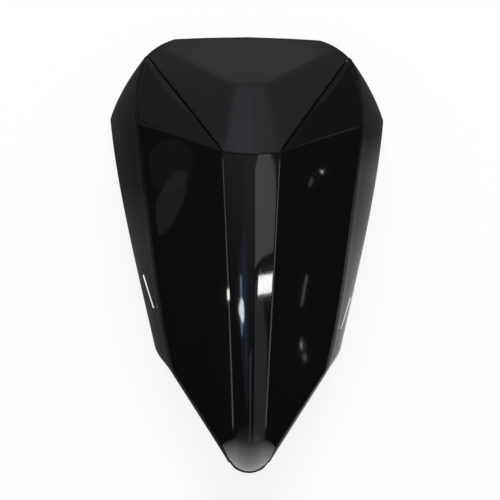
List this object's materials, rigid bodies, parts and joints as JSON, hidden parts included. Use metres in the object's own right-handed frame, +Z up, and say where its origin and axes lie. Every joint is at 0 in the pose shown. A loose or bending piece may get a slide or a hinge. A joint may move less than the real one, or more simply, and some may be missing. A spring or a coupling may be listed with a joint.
{
  "type": "motorcycle seat cowl",
  "caption": "Wedge-shaped moulded seat cowl with a faceted bum-stop pad, a lock striker and a tail tongue underneath",
  "frame": {"origin": "centre of the box over the object, on the ground plane that it rests on", "axes": "X across, to the right as seen from behind; Y forward to the rider's side, the tail tip is at -Y; Z up"},
  "size_m": [0.2534, 0.4, 0.112],
  "materials": {
    "gloss_shell": "polished black lacquer over moulded plastic",
    "satin_pad": "satin black, finely grained",
    "bracket_steel": "black coated steel sheet",
    "striker_steel": "bright drawn bar",
    "zinc_steel": "zinc plated",
    "insert_brass": "turned brass",
    "buffer_rubber": "moulded black rubber",
    "seal_foam": "closed-cell foam strip"
  },
  "bodies": {
    "root": {"cowl_shell": "gloss_shell", "bumstop_pad": "satin_pad", "pad_screws": "zinc_steel", "pad_washers": "zinc_steel", "latch_bracket": "bracket_steel", "latch_striker": "striker_steel", "bracket_inserts": "insert_brass", "bracket_bolts": "zinc_steel", "bracket_washers": "zinc_steel", "tail_tongue": "bracket_steel", "tongue_inserts": "insert_brass", "tongue_bolts": "zinc_steel", "tongue_washers": "zinc_steel", "buffer_front_left": "buffer_rubber", "buffer_front_right": "buffer_rubber", "buffer_rear_left": "buffer_rubber", "buffer_rear_right": "buffer_rubber", "foam_strip_left": "seal_foam", "foam_strip_right": "seal_foam"}
  },
  "joints": []
}
